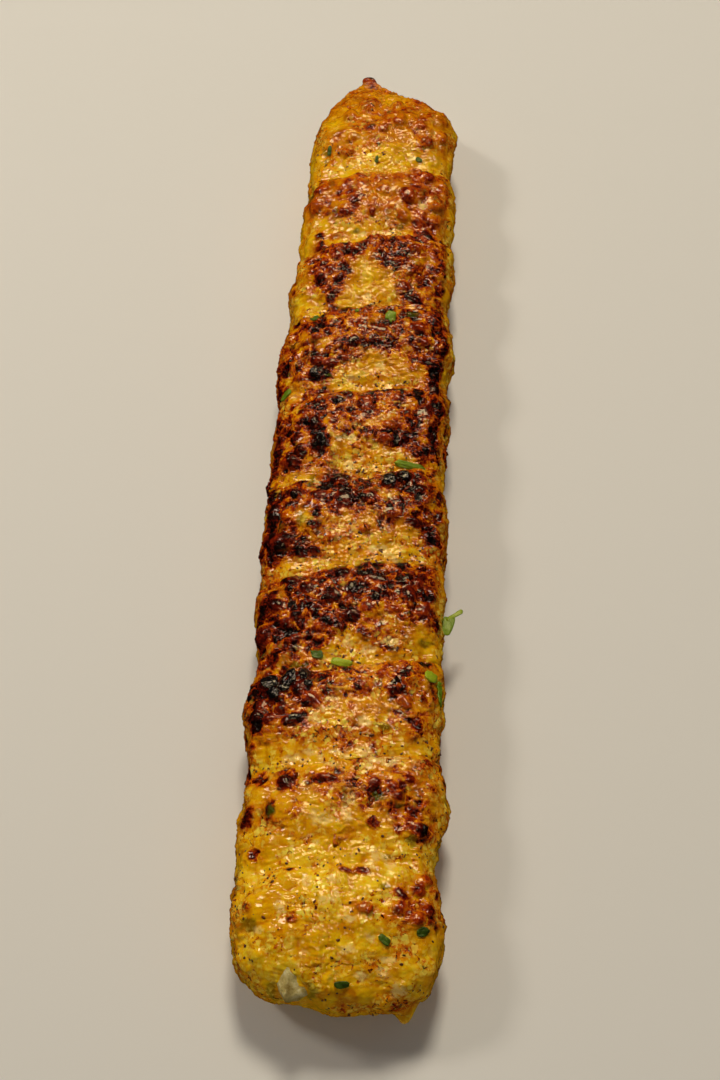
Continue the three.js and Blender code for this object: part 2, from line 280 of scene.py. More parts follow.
# How brown each band's crest is, and its pale part. On each band the browning starts at a distance from
# the blunt end, given for the places ACROSS the log, and runs on to the band's far crease.
CREST_BROWNING = np.array((0.3, 0.42, 0.54, 0.63, 0.66, 0.65, 0.66, 0.64, 0.48, 0.43))
TINGE = np.array((0.13, 0.15, 0.16, 0.17, 0.19, 0.21, 0.22, 0.17, 0.12, 0.14))
# Between these distances from the blunt end the crust turns smoother, towards the pinched end
SMOOTHER = (172, 202)
ACROSS = (-20, -10, 0, 10, 20)
BROWN_FROM = np.array((
    (99, 99, 99, 99, 99),
    (41, 39, 40, 37, 37),
    (54, 54, 60, 57, 58),
    (73, 76, 79, 81, 82),
    (99, 105, 108, 106, 102),
    (121, 125, 130, 130, 124),
    (147, 148, 153, 155, 149),
    (179, 173, 186, 173, 174),
    (203, 197, 199, 196, 195),
    (235, 223, 227, 223, 222),
))
# More such layers: where the browning starts, the pale flesh's tinge, the crust, the lower sides, and
# the edges of scorches, of blisters and of flecks
RAGGED_START = ((4.2, 8, 31), (3.4, 3.3, 32), (1.6, 1.5, 38))
TINGE_CLOUDS = ((0.1, 14, 33), (0.15, 4, 34))
UNEVEN_CRUST = ((0.16, 6, 35), (0.18, 2.2, 36), (0.1, 1.1, 37))
SIDE_CLOUDS = ((1, 7, 40), (0.4, 2.5, 47))
SCORCH_EDGE = ((0.34, 3.2, 41), (0.24, 1.5, 42), (0.16, 0.8, 39))
BLISTER_EDGE = ((0.25, 2.2, 45), (0.2, 1, 46))
FLECK_EDGE = ((0.8, 1.9, 43), (0.6, 0.9, 44))
# The browning sets in over these millimetres about its start, on skin that faces up or down, and a
# little more on the -X side
CREST_EDGE = (-9, 4)
FACING = {"from": 0.2, "to": 0.62, "lean": 0.2}
# How brown the lower sides are, and by how much more their browned patches are
SIDE_BROWNING = (0.05, 0.2)
# Where the soft rims of scorches, blisters, the rings round them and flecks end and begin. 1 is the
# outline that the tables give.
SOFT_RIMS = {"scorch": (1.6, 0.35), "blister": (1.2, 0.9), "ring": (2.2, 1), "fleck": (1.1, 0.5)}
SCORCH_STRENGTH = 0.87
# Scorched spots: distance from the blunt end, place across, length, width, how brown
SCORCHES = (
    (17, 16.5, 6, 10, 0.58), (23, 19, 6, 5, 0.66), (17.5, 6.5, 3, 5, 0.52), (25, 4, 1.8, 5.5, 0.7),
    (28, -17, 4, 4, 0.6), (21, 13.5, 2.4, 2.4, 0.7), (14.8, -8.5, 1.8, 2.6, 0.62),
    (17, -18, 2.2, 2.4, 0.6), (42, -12, 6.5, 5.5, 0.64), (42, -2.5, 6, 5, 0.62), (45, -17, 4, 3.4, 0.62),
    (43, 10, 7, 15, 0.62), (37.5, 9.5, 4, 5, 0.6), (34.5, 17.5, 5, 5.5, 0.68), (36, -19.5, 4, 2.5, 0.72),
    (33, -8, 3, 7, 0.5), (37.5, -14.5, 3, 1.8, 0.72), (38, -13, 6, 8, 0.42), (65, -15, 8, 12, 0.8),
    (58, -15, 6, 11, 0.7), (61.5, -6.5, 3.5, 4.5, 0.84), (66, 8.5, 7, 7, 0.7), (62, 12, 5, 6, 0.7),
    (60, 15, 4, 4, 0.66), (53, -16, 3, 5, 0.6), (87, -10, 14, 20, 0.7), (78, -16, 9, 10, 0.74),
    (88, -2, 8, 9, 0.76), (90, 10, 9, 12, 0.72), (84, 12, 7, 12, 0.66), (92, 16, 7, 4, 0.92),
    (79, -8, 5, 7, 0.74), (73, -19, 6, 4, 0.7), (71, -8, 2, 4, 0.6), (101, -17, 6.5, 9, 0.84),
    (98.7, -11, 2.6, 6, 0.9), (110, -18.5, 9, 4, 0.8), (118.5, -5, 4, 6, 0.86), (111, -3.5, 5, 4.5, 0.8),
    (113, -9, 5, 8, 0.72), (118, 9, 5, 8, 0.76), (114, 14, 6, 7, 0.78), (107.5, 14, 3, 4, 0.8),
    (113, 2, 4, 4, 0.8), (108, 8, 3, 3, 0.72), (116, 0, 4, 9, 0.76), (104, 2, 2.5, 3, 0.7),
    (103, -5, 5, 5, 0.46), (127.5, -9.5, 5, 4.5, 0.98), (123, -16, 5, 7, 0.84), (132, -12, 4, 4, 0.82),
    (128, -17, 6, 5, 0.7), (142, -12, 5, 10, 0.74), (139, 1, 4, 4, 0.76), (141, 12, 6, 11, 0.72),
    (131, 11, 5, 6, 0.66), (134, 17, 12, 5, 0.64), (151.5, -9.5, 3.6, 10, 0.78), (148, -11, 3.4, 5, 0.92),
    (157, -3, 3.4, 3, 0.8), (161, 4, 3, 5, 0.78), (167, -8, 5, 4, 0.76), (167, 0, 4, 2, 0.76),
    (163, 14, 8, 8, 0.7), (146.5, 17.5, 4, 3, 0.84), (158, 10, 4, 5, 0.66), (155, -15, 8, 6, 0.6),
    (178, -11, 9, 7, 0.66), (177.5, -12, 3, 2.4, 0.8), (184, -8, 5, 5, 0.64), (189, -13, 5, 4, 0.64),
    (172, 12, 3, 6, 0.74), (176, 9, 5, 5, 0.7), (188, 12, 5, 6, 0.62), (194, 14.5, 6, 5, 0.74),
    (191.5, 2, 3, 2, 0.7), (181, 14, 8, 8, 0.64), (205.5, 9, 4, 4.5, 0.7), (213, 14.5, 4, 4.5, 0.64),
    (199, -7, 2, 4.5, 0.76), (203, -14, 7, 5, 0.64), (209, -14, 5, 3, 0.58), (203, 17, 6, 5, 0.58),
    (199.5, 0, 2.4, 2, 0.68), (193, -13.5, 1.8, 1.8, 0.88), (192.5, -8.5, 2.6, 6, 0.46),
    (211, 5.5, 3, 1.6, 0.68), (207, 3, 5, 6, 0.48), (232, 11.5, 6, 6, 0.56), (226, -7, 5, 8, 0.46),
    (228.5, 5, 4, 6, 0.52), (229, 14, 8, 8, 0.44), (259, -3, 5, 5, 0.86), (247, -3, 14, 6, 0.44),
    (239, 7, 3, 1.6, 0.6), (65.5, 0, 7, 12, 0.58), (63, 8, 9, 10, 0.6), (60, 3, 5, 7, 0.5),
    (37, -12, 8, 9, 0.5), (33, 2, 4, 8, 0.42), (40, 6, 5, 6, 0.52), (186, 0, 6, 14, 0.5),
    (190, 6, 5, 10, 0.56),
)
# Places that the fire didn't reach, in the same terms, with how much of the browning they lack
PALE_PLACES = (
    (177, 0, 18, 8, 0.75), (114, 6.5, 3.5, 4, 0.6), (107, -12, 3.4, 4, 0.8), (58.5, -4.5, 5, 7, 0.7),
    (166, -14, 4, 4, 0.5), (139, -19, 6, 2.6, 0.8), (183, -18, 12, 3.5, 0.9), (73, -5, 3, 6, 0.8),
    (48, -6, 4, 14, 0.8), (99, 4, 4, 20, 0.7), (151, 6, 5, 14, 0.6), (125, 2, 8, 14, 0.6),
    (218, -3, 9, 18, 0.7), (235, -12, 12, 9, 0.6), (246, 4, 9, 8, 0.5), (205, 5, 5, 8, 0.4),
)


def away_from(points, along, across, long, wide, turn=0):
    """How far each point is from the middle of an oval, where 1 is the oval's rim."""
    c, s = math.cos(math.radians(turn)), math.sin(math.radians(turn))
    step, reach = points[:, 1] + LENGTH / 2 - along, points[:, 0] - across
    return np.hypot((c * step + s * reach) / (long / 2), (c * reach - s * step) / (wide / 2))


def browning_of(points, normals, v):
    """How far the fire has browned the skin at each point: 0 is pale, 0.5 golden brown, 1 black."""
    band = band_of(v)[0]
    along = points[:, 1] + LENGTH / 2
    column = np.clip((points[:, 0] - ACROSS[0]) / (ACROSS[1] - ACROSS[0]), 0, len(ACROSS) - 1.001)
    left = column.astype(int)
    start = mix(BROWN_FROM[band, left], BROWN_FROM[band, left + 1], column - left)
    upright = np.abs(normals[:, 2])
    facing = smooth(FACING["from"], FACING["to"], upright - FACING["lean"] * normals[:, 0])
    crest = smooth(*CREST_EDGE, along + layered_noise(points, RAGGED_START) - start) * facing
    uneven = layered_noise(points, UNEVEN_CRUST) * mix(1, 0.45, smooth(*SMOOTHER, v))
    side_patches = smooth(0.05, 0.5, layered_noise(points, SIDE_CLOUDS))
    sides = smooth(0.6, 0.3, upright) * (SIDE_BROWNING[0] + SIDE_BROWNING[1] * side_patches)
    tinge = TINGE[band] + layered_noise(points, TINGE_CLOUDS) + sides
    brown = mix(tinge, CREST_BROWNING[band] + uneven, crest)
    edge = layered_noise(points, SCORCH_EDGE)

    def spot(oval):
        """1 in the middle of a ragged oval on the top, 0 outside it."""
        return smooth(*SOFT_RIMS["scorch"], away_from(points, *oval) + edge) * (normals[:, 2] > 0)

    for *oval, lack in PALE_PLACES:
        brown = mix(brown, tinge, lack * spot(oval))
    for *oval, amount in SCORCHES:
        brown = np.maximum(brown, mix(brown, SCORCH_STRENGTH * amount + uneven, spot(oval)))
    return brown


# Blisters, where fat boiled under the skin: distance from the blunt end, place across, length, width,
# turn, and how burnt
BLISTERS = (
    (18, 13.5, 2.5, 2.2, 20, 0.5), (16.5, 17, 3, 2.4, 60, 0.5), (18.5, 19, 2.4, 2.1, 0, 0.6),
    (24.5, 18.5, 3, 2.4, 30, 0.5), (22, 17, 2.2, 2.4, 0, 0.6), (21, 13.5, 1.4, 3, 40, 0.7),
    (25, 2.2, 1, 2, 10, 0.7), (25.2, 5.2, 1.2, 2.6, 15, 0.6), (24.7, -9.5, 0.9, 1.6, 0, 1),
    (17.5, 6, 1.8, 3.2, 0, 0.3), (43, -12, 2.6, 3.2, 0, 0.9), (44, -3, 1.5, 4, 8, 0.8),
    (34.8, 17, 2.6, 3.3, 20, 0.9), (35.2, 7.3, 1.8, 2.2, 30, 0.9), (43.7, 7, 2, 2.6, 0, 0.7),
    (43.3, 10.5, 2, 2.8, 20, 0.6), (45.2, 14.5, 2, 3, 10, 0.7), (41, 12, 2, 2.2, 0, 0.5),
    (36, -19.5, 3.4, 1.8, 20, 0.8), (37.5, -14.5, 2.4, 1.3, 0, 0.9), (66.3, -17, 4, 4.4, 0, 1),
    (66.8, -12.7, 5.2, 3.8, 10, 1), (64, -10, 3, 2.5, 40, 0.9), (63, -15.5, 3, 3, 0, 1),
    (61.5, -6.8, 2.4, 4.2, 35, 0.6), (57, -11.5, 2.2, 4.5, -15, 0.9), (58.5, -19, 2.6, 2.6, 0, 0.9),
    (59.5, -14, 2.2, 2.2, 0, 0.7), (61, -18.5, 3, 3, 0, 0.8), (57.5, -16, 2.5, 2.5, 0, 0.7),
    (64.5, 10.3, 2.6, 2.2, 0, 0.8), (68.5, 8, 2.2, 3, 20, 0.5), (62.5, 13, 3, 3.4, 30, 0.4),
    (92.5, 15.7, 5, 1.7, 35, 0.9), (91, 6, 1.8, 4.2, 10, 0.9), (86.5, -4, 3, 3.4, 0, 0.9),
    (88, 0, 4.4, 2, 10, 0.9), (82, 0.2, 2.6, 3.3, 0, 0.9), (88.5, -10, 2.5, 2.6, 0, 0.8),
    (84, 3.5, 2, 2.2, 0, 0.7), (84.5, -16.5, 3, 3, 0, 0.8), (81.5, -12, 2, 2.4, 0, 0.9),
    (80, -14.5, 2.6, 2.4, 0, 0.8), (78, -19.5, 4.4, 2.8, 0, 0.9), (88, 13, 4, 2.5, 0, 0.7),
    (90.5, -14, 2.4, 4, 15, 0.9), (92.5, -3, 1.8, 5, 10, 0.9), (85, 16, 4, 2, 20, 0.6),
    (87, -18, 3, 2, 0, 0.8), (76.5, -12, 2, 2.5, 0, 0.7), (79, -7, 2, 2.4, 0, 0.7), (84, 9, 2, 3, 0, 0.5),
    (118.4, -4.6, 3.4, 5, 10, 0.9), (117, 7.4, 3.5, 3.6, 0, 1), (118.8, 10.8, 3.4, 3, 20, 1),
    (111, -3.4, 4, 4, 0, 0.8), (112.6, -9, 1.9, 5, 5, 0.8), (112.5, 2.8, 2.6, 3.4, 0, 0.7),
    (107.2, 13.8, 2.3, 3.4, 20, 0.9), (116, 14.8, 2.6, 2.6, 0, 0.9), (110, -19, 5.5, 2.6, 0, 0.9),
    (113.5, -14.5, 2.4, 4, 10, 0.9), (101.5, -17, 4.4, 5.6, 0, 0.94), (98.7, -12.4, 2.3, 2.6, 0, 0.94),
    (99, -9.2, 1.7, 3, 15, 0.9), (103, -19.5, 2.5, 3, 0, 0.9), (104.3, 2, 1.9, 2.4, 0, 0.5),
    (108.2, 8.4, 1.8, 1.8, 0, 0.7), (127.6, -9.3, 4.4, 2.8, 0, 1), (123.2, -16.4, 3, 4, 20, 0.8),
    (133, -11, 3, 2.4, 0, 0.9), (139, 0.8, 3.8, 3.4, 0, 0.7), (138.5, 16, 4.4, 2, 10, 0.7),
    (141.5, 9, 2, 3, 15, 0.6), (126.5, -14, 2.4, 3, 0, 0.7), (129.5, 6.5, 1.5, 2.4, 0, 0.6),
    (143, -10, 2, 3, 10, 0.7), (136, -14, 2.3, 2.4, 0, 0.6), (141, -3, 2.1, 2.6, 0, 0.6),
    (133, 7, 2, 3, 0, 0.4), (151.6, -11.6, 2.4, 3.4, 0, 0.8), (151.2, -8.2, 2.2, 3.2, 0, 0.75),
    (152.6, -5.2, 1.8, 2.6, 0, 0.7), (148.3, -12, 2.4, 2.4, 0, 1), (147.6, -9.6, 2.3, 3, 0, 0.9),
    (156.8, -2.8, 3, 3, 0, 0.8), (160.8, 3.8, 2, 4, 15, 0.7), (166.8, -8.6, 3, 2.4, 0, 0.6),
    (167, -0.3, 3, 1.3, 0, 0.6), (146.5, 17.6, 2.4, 2.3, 0, 0.9), (163, 13, 2.8, 4, 0, 0.6),
    (159, 15, 2.5, 3, 0, 0.5), (158.5, -12, 2, 2.5, 0, 0.5), (177.6, -12, 2.7, 2.4, 0, 0.9),
    (184.3, -8.4, 2.6, 3, 0, 0.6), (189.5, -13, 3.4, 2.6, 0, 0.5), (172.4, 12, 2.3, 5, 20, 0.9),
    (194, 14.6, 4.4, 3.8, 0, 0.8), (191.6, 1.8, 2.5, 1.5, 0, 0.6), (176.5, 9.4, 2.5, 2.6, 0, 0.5),
    (188, 12, 2.4, 3, 0, 0.5), (180, -10, 2.4, 2.4, 0, 0.6), (205.4, 9.2, 3.5, 3.7, 0, 0.5),
    (213, 14.5, 3.8, 3.3, 0, 0.5), (199.2, -6.8, 1.5, 4, 10, 0.7), (193.2, -13.4, 1.5, 1.6, 0, 0.9),
    (202.5, -15, 4, 3, 0, 0.4), (199.5, 0, 2, 2, 0, 0.5), (203.5, 17, 3, 3, 0, 0.3),
    (211.5, -13.8, 4, 1.7, 0, 0.4), (206.5, -1.5, 2.6, 3, 0, 0.2), (232, 12, 2.5, 3, 0, 0.4),
    (226.5, -6.5, 2.8, 3.4, 0, 0.2), (229.6, 2, 3.2, 2.4, 30, 0.3), (226.5, 13.6, 3.4, 3.6, 0, 0.35),
    (230, 18, 4.5, 3, 0, 0.35), (242, -2.6, 6, 5, 0, 0.2), (208, -2.8, 3.6, 3.6, 0, 0.3),
    (207, 2.4, 3.4, 3.4, 0, 0.25), (208, -13.4, 4, 3.6, 0, 0.5), (199.2, 8.4, 3, 3, 0, 0.3),
    (216, 11, 2.6, 3.4, 0, 0.3), (233, 6.2, 3.6, 3.4, 0, 0.3), (221.5, -8, 4, 4, 0, 0.2),
    (236.6, -7.4, 4.5, 4, 0, 0.2), (241.5, 5.6, 4, 3, 0, 0.2), (67.6, -9.6, 2.4, 3.4, 80, 1),
    (64.4, -13.6, 2.2, 2.6, 0, 1), (65.2, -8.4, 2, 2.2, 0, 1), (57.4, -10.4, 1.6, 3.4, -12, 1),
    (238.5, 7.4, 2.3, 1.2, 0, 0.5),
)
# A blister's dome: its height as a share of its width, how many times as high it stands off the skin,
# how far past its outline it swells, how brown the ring round it is against the dome, and how brown a
# fresh and a burnt one are
DOME = {"height": 0.36, "lift": 1.1, "swell": 1.15, "ring": 0.7, "brown": (0.3, 0.9)}


def blisters_on(points):
    """How high a blister stands at each point, how brown it makes the skin there, and how much so."""
    along = points[:, 1] + LENGTH / 2
    edge = layered_noise(points, BLISTER_EDGE)
    height = np.zeros(len(points))
    brown = np.zeros(len(points))
    share = np.zeros(len(points))
    for place, side, long, wide, turn, burnt in BLISTERS:
        near = np.abs(along - place) < long + wide
        away = away_from(points[near], place, side, long, wide, turn) + edge[near]
        dome = DOME["height"] * min(long, wide) * np.sqrt(np.clip(1 - (away / DOME["swell"]) ** 2, 0, 1))
        skin = smooth(*SOFT_RIMS["blister"], away)
        here = np.maximum(skin, DOME["ring"] * smooth(*SOFT_RIMS["ring"], away))
        shade = mix(*DOME["brown"], burnt) * mix(0.75, 1, skin)
        brown[near] = np.where(here > share[near], shade, brown[near])
        height[near] = np.maximum(height[near], dome)
        share[near] = np.maximum(share[near], here)
    return height, brown, share


# Flecks of fat and onion set in the skin: distance from the blunt end, place across, length, width
FLECKS = (
    (28.5, 9, 2.2, 4.5), (27, 6.5, 1.8, 3), (26.5, 11, 2, 3), (29.5, 7, 1.6, 3), (20, 0, 2.8, 2),
    (18.5, -3, 2.4, 3), (23, -1, 2, 3), (22.5, -6, 2.2, 2.4), (15.5, 3, 2, 3), (9.6, 3.5, 2, 3.2),
    (4.6, 6.5, 1.6, 3.4), (8.6, -5.4, 1.4, 4), (8, 11, 1.5, 3.6), (5.4, 10.5, 2, 2.4), (3, 13.5, 2.4, 3),
    (48.5, -8, 2, 5), (49.3, -5.5, 2.4, 3), (47.6, -3, 2, 4), (50.5, 5, 2.4, 5), (49.3, 8.6, 1.6, 3),
    (57.2, -6.4, 2.4, 4), (59.5, -4.2, 2, 3), (74.2, 4, 2, 4), (76.6, 8.6, 2.2, 3), (76, -0.3, 2.8, 2),
    (99.6, 6.2, 1.8, 5), (97.6, 8.6, 1.5, 3), (121.6, -2.4, 2.4, 2.4), (123.6, 1.2, 2.6, 2),
    (129, -1.6, 1.8, 4), (117.6, -9.6, 2.8, 2), (151, 4.6, 2, 3), (147.4, -3, 2, 3), (216.6, -1, 3, 4),
    (220.4, 10.6, 2, 3), (193, -3.2, 2, 3.4), (203, 13.2, 2.6, 2.6), (40, 2.5, 3, 2), (36.5, 1.5, 2.4, 2),
    (62, -3.6, 2, 2.4), (172, 0, 2.4, 2), (48.2, -9, 3, 5.5), (49.8, -6, 2.6, 4), (49.4, 0, 3, 4.5),
    (48.8, 7, 3, 6), (49.8, 10, 2, 4), (35.5, -3.5, 3, 3.5), (181, -1.6, 2, 2), (185, 3.4, 2.4, 2),
    (13, -15, 3, 2), (57, 4, 2, 3), (31, -4, 2, 3), (12, 8, 2, 2.4), (17, -11, 2.4, 2),
)
# Herbs that lie under the skin and only tinge it green, in the same terms
DROWNED_HERBS = (
    (13.6, -16.8, 2.4, 4.6), (19, -3.6, 3, 2.6), (22.3, 11, 1.8, 4), (28.6, 9.8, 1.4, 3),
    (36.8, -14.6, 3, 2), (56.6, 8, 1.8, 3), (40.8, 8.6, 1.5, 3), (70.4, -11.6, 2.4, 4),
    (106.6, -12.2, 3.6, 3), (118, -10.5, 4, 3), (147.4, -8.6, 2.6, 3.6), (129, -4, 1.8, 5),
    (167.4, 11.2, 2.4, 3.4), (193.6, -4, 1.8, 3), (210, -17, 7, 2), (222.4, -13.4, 4, 1.8),
    (218.4, 0.6, 3.4, 1.6), (2.4, -11.5, 2.6, 2.6), (2.2, -3.8, 2, 2.6), (77.6, 17.2, 1.8, 3),
    (200, -9.6, 3, 1.6), (196, 7, 2, 2), (32, 15, 2, 2),
)


def tinge_of(points, ovals):
    """1 in the ragged middle of each oval, 0 elsewhere."""
    edge = layered_noise(points, FLECK_EDGE)
    tinge = np.zeros(len(points))
    for oval in ovals:
        tinge = np.maximum(tinge, smooth(*SOFT_RIMS["fleck"], away_from(points, *oval) + edge))
    return tinge


# The finest relief lies in patterns that are stirred first: each stirring's reach, size and seed
STIRRING = ((1.1, 2.6, 51), (0.4, 1.1, 54))
# Pale mince puffs up in rounded folds: their height, size and seed. A dry crust draws together in
# ridges: their height, size and seed, and their share in making it paler.
PUFFS = ((0.35, 3, 61), (0.4, 1.6, 71), (0.36, 0.8, 75))
RIDGES = ((0.8, 2.9, 62, 1), (0.7, 1.5, 72, 0.5), (0.5, 0.8, 76, 0.3))
FOLD_LEVEL = 0.3
# Between these stages of browning, flesh turns into crust
CRUST = (0.3, 0.6)
# The relief is lower near the two ends, and where a blister's dome has drawn the skin tight
CALM_BLUNT = {"share": 0.75, "from": 3, "to": 22}
CALM_TIP = {"share": 0.25, "length": 7, "very_end": 1.5}
CALM_DOMES = {"share": 0.15, "full_at": 0.4}
# How much browner a grain's top is than its edge, and how much paler a ridge
MOTTLE = {"grain": 0.25, "ridge": 0.5}


def folds(points, size, seed):
    """How high rounded folds stand over their own mean level, with sharp creases between them."""
    return np.abs(soft_noise(points, size, seed)) - FOLD_LEVEL


def meat_relief(base, brown, domes, v):
    """How far the skin stands off the squeezed log, how much browner that makes it, and painted shade in
    its hollows.
    """
    crust = smooth(*CRUST, brown)
    lumps = layered_noise(base, LUMPS)
    grain = GRAIN["edge"] - nearest_grain(base, GRAIN["size"], GRAIN["seed"])
    stirred = base
    for reach, size, seed in STIRRING:
        stirred = stirred + reach * noise_each_way(base, size, seed)
    puffs = [folds(stirred, size, seed) for _, size, seed in PUFFS]
    ridges = [-folds(stirred, size, seed) for _, size, seed, _ in RIDGES]

    puffy = (1 - crust) * sum(row[0] * puff for row, puff in zip(PUFFS, puffs))
    puffy *= mix(CALM_BLUNT["share"], 1, smooth(CALM_BLUNT["from"], CALM_BLUNT["to"], v))
    drawn = crust * sum(row[0] * ridge for row, ridge in zip(RIDGES, ridges))
    fine = (puffy + drawn) * mix(1, CALM_DOMES["share"], smooth(0, CALM_DOMES["full_at"], domes))
    relief = lumps + GRAIN["reach"] * grain + fine
    relief *= mix(CALM_TIP["share"], 1, smooth(LENGTH, LENGTH - CALM_TIP["length"], v))
    relief *= smooth(LENGTH, LENGTH - CALM_TIP["very_end"], v)
    paler = MOTTLE["ridge"] * sum(row[3] * ridge for row, ridge in zip(RIDGES, ridges))
    browner = crust * (MOTTLE["grain"] * grain - paler)
    browner *= mix(1, 0.5, smooth(*SMOOTHER, v)) * smooth(0.35, 0, domes)
    # Painted shade: marks the creases between the pale folds, where the finish darkens the colour
    hollow = (1 - crust) * smooth(-0.1, -0.3, puffs[0] + 0.4 * puffs[1])
    return relief + DOME["lift"] * domes, browner, hollow


def build_meat(name, start, end):
    """One length of the skin. Returns its mesh, how brown it is, and which points lie inside at a cut."""
    bm = bmesh.new()
    bmesh.ops.create_uvsphere(bm, u_segments=AROUND, v_segments=RINGS, radius=1)
    mesh = mesh_from(bm, name)

    net = read_points(mesh)
    ring = np.rint(np.arccos(np.clip(net[:, 2], -1, 1)) / np.pi * RINGS).astype(int)
    turn = np.arctan2(net[:, 1], net[:, 0])
    oval = (HALF_WIDTH["blunt"] - HALF_THICKNESS) / (HALF_WIDTH["blunt"] + HALF_THICKNESS)
    angle = turn + oval / 2 * np.sin(2 * turn) + DENSER_ON_TOP * np.cos(turn)
    v = ring_stations(start, end)[ring]
    base = log_points(v, angle)
    normals = log_normals(v, angle)

    above = normals[:, 2] > 0
    domes, dome_brown, dome_share = blisters_on(base)
    domes *= smooth(0, 0.4, normals[:, 2])
    brown = mix(browning_of(base, normals, v), dome_brown, dome_share * above)
    relief, browner, hollow = meat_relief(base, brown, domes, v)
    points = base + normals * relief[:, None]
    for x, z, reach, radius in SCRAPS:
        away = np.hypot(base[:, 0] - x, base[:, 2] - z) / radius
        at_end = smooth(-LENGTH / 2 + BLUNT["length"] / 2, -LENGTH / 2, base[:, 1])
        points[:, 1] -= reach * at_end * np.exp(-(away**2))
    points[:, 2] = np.maximum(points[:, 2], 0)
    points[:, 2] -= PRESSED["share"] * np.maximum(points[:, 2] - PRESSED["above"], 0)
    inside = np.zeros(len(points), bool)
    for pole, cut in ((0, start > 0), (RINGS, end < LENGTH)):
        if cut:
            inside |= ring == pole
            points[ring == pole] = points[ring == abs(pole - 1)].mean(axis=0)
    write_points(mesh, (points + AXIS) * MM)
    bm = bmesh.new()
    bm.from_mesh(mesh)
    bmesh.ops.recalc_face_normals(bm, faces=bm.faces)
    bm.to_mesh(mesh)
    bm.free()

    brown += browner
    calm = np.maximum(0.8 * smooth(*SMOOTHER, v), 0.85 * smooth(0.4, 0.9, dome_share) * above)
    fat, green = (tinge_of(base, ovals) * above for ovals in (FLECKS, DROWNED_HERBS))
    add_attributes(mesh, browning=brown, hollow=hollow, calm=calm, fat=fat, green=green)
    mesh.shade_smooth()
    return mesh, brown, inside


class Value:
    """A number or a colour that varies over a surface. Arithmetic on numbers adds Math nodes."""

    def __init__(self, finish, socket):
        self.finish = finish
        self.socket = socket

    def maths(self, operation, *inputs):
        inputs = dict(enumerate((self, *inputs)))
        return self.finish.node("Math", {"operation": operation}, inputs)

    def __add__(self, other):
        return self.maths("ADD", other)

    def __sub__(self, other):
        return self.maths("SUBTRACT", other)

    def __rsub__(self, other):
        return self * -1 + other

    def __mul__(self, other):
        return self.maths("MULTIPLY", other)

    __radd__ = __add__
    __rmul__ = __mul__

    def eased(self, start, end):
        """0 at start, 1 at end, and a smooth curve between."""
        settings = {"interpolation_type": "SMOOTHSTEP"}
        return self.finish.node("MapRange", settings, {0: self, 1: start, 2: end})


def colour(red, green, blue):
    """A colour for a socket from the usual 0 to 255 numbers."""
    shares = (c / 255 for c in (red, green, blue))
    return (*(s / 12.92 if s < 0.04045 else ((s + 0.055) / 1.055) ** 2.4 for s in shares), 1)


class Finish:
    """A material, and the nodes that make it."""

    def __init__(self, name):
        self.material = bpy.data.materials.new(name)
        self.material.use_nodes = True
        self.tree = self.material.node_tree
        self.shader = self.tree.nodes["Principled BSDF"]
        self.place = self.node("TexCoord", {}, {}, output="Object")

    def node(self, kind, settings, inputs, output=0):
        """Adds a node, sets it, and feeds its sockets with numbers, colours or other nodes' values."""
        node = self.tree.nodes.new("ShaderNode" + kind)
        for name, value in settings.items():
            if name == "stops":
                self.set_stops(node.color_ramp, value)
            else:
                setattr(node, name, value)
        self.feed(node, inputs)
        return Value(self, node.outputs[output])

    def feed(self, node, inputs):
        for name, value in inputs.items():
            if isinstance(value, Value):
                self.tree.links.new(value.socket, node.inputs[name])
            else:
                node.inputs[name].default_value = value

    def set_stops(self, ramp, stops):
        """Each stop has its place and its red, green and blue, from 0 to 255."""
        for place, *_ in stops[2:]:
            ramp.elements.new(place)
        for element, (place, *shade) in zip(ramp.elements, stops):
            element.position = place
            element.color = colour(*shade)

    def shade(self, inputs):
        """Feeds the surface, and gives the finished material."""
        self.feed(self.shader, inputs)
        return self.material

    def noise(self, size, detail=3, roughness=0.55, distortion=0, output=0):
        """Cloudy noise from 0 to 1 whose patches are about size metres wide."""
        inputs = {"Vector": self.place, "Scale": 1 / size, "Detail": detail}
        inputs |= {"Roughness": roughness, "Distortion": distortion}
        return self.node("TexNoise", {}, inputs, output=output)

    def cells(self, size, stir):
        """Rounded cells of the size: how far the nearest rim is, and a tone from 0 to 1 for each cell."""
        swirl = self.noise(size, detail=1, output=1)
        inputs = {0: swirl, 1: (stir,) * 3, 2: self.place}
        stirred = self.node("VectorMath", {"operation": "MULTIPLY_ADD"}, inputs)
        inputs = {"Vector": stirred, "Scale": 1 / size}
        rims = self.node("TexVoronoi", {"feature": "DISTANCE_TO_EDGE"}, inputs, output="Distance")
        shades = self.node("TexVoronoi", {}, inputs, output="Color")
        return rims, self.node("RGBToBW", {}, {0: shades})

    def attribute(self, name):
        return self.node("Attribute", {"attribute_name": name}, {}, output="Fac")

    def mix_colours(self, share, first, second, blend="MIX"):
        settings = {"data_type": "RGBA", "blend_type": blend}
        return self.node("Mix", settings, {0: share, 6: first, 7: second}, output=2)


# The skin's colour at each stage of its browning
BROWNING_STEPS = (
    (0, 252, 204, 40), (0.1, 244, 182, 6), (0.24, 232, 152, 2), (0.38, 214, 110, 2),
    (0.5, 184, 70, 4), (0.6, 150, 43, 5), (0.7, 110, 24, 6), (0.8, 72, 12, 5),
    (0.9, 40, 7, 4), (1, 18, 7, 6),
)
LEMON = colour(238, 190, 6)
HERB_STAIN = colour(88, 96, 8)
# The orange tint that the painted shade in the hollows multiplies the colour by
PAINTED_SHADE_TINT = colour(206, 128, 20)
CREAM = colour(255, 222, 80)
FAT = colour(255, 214, 122)


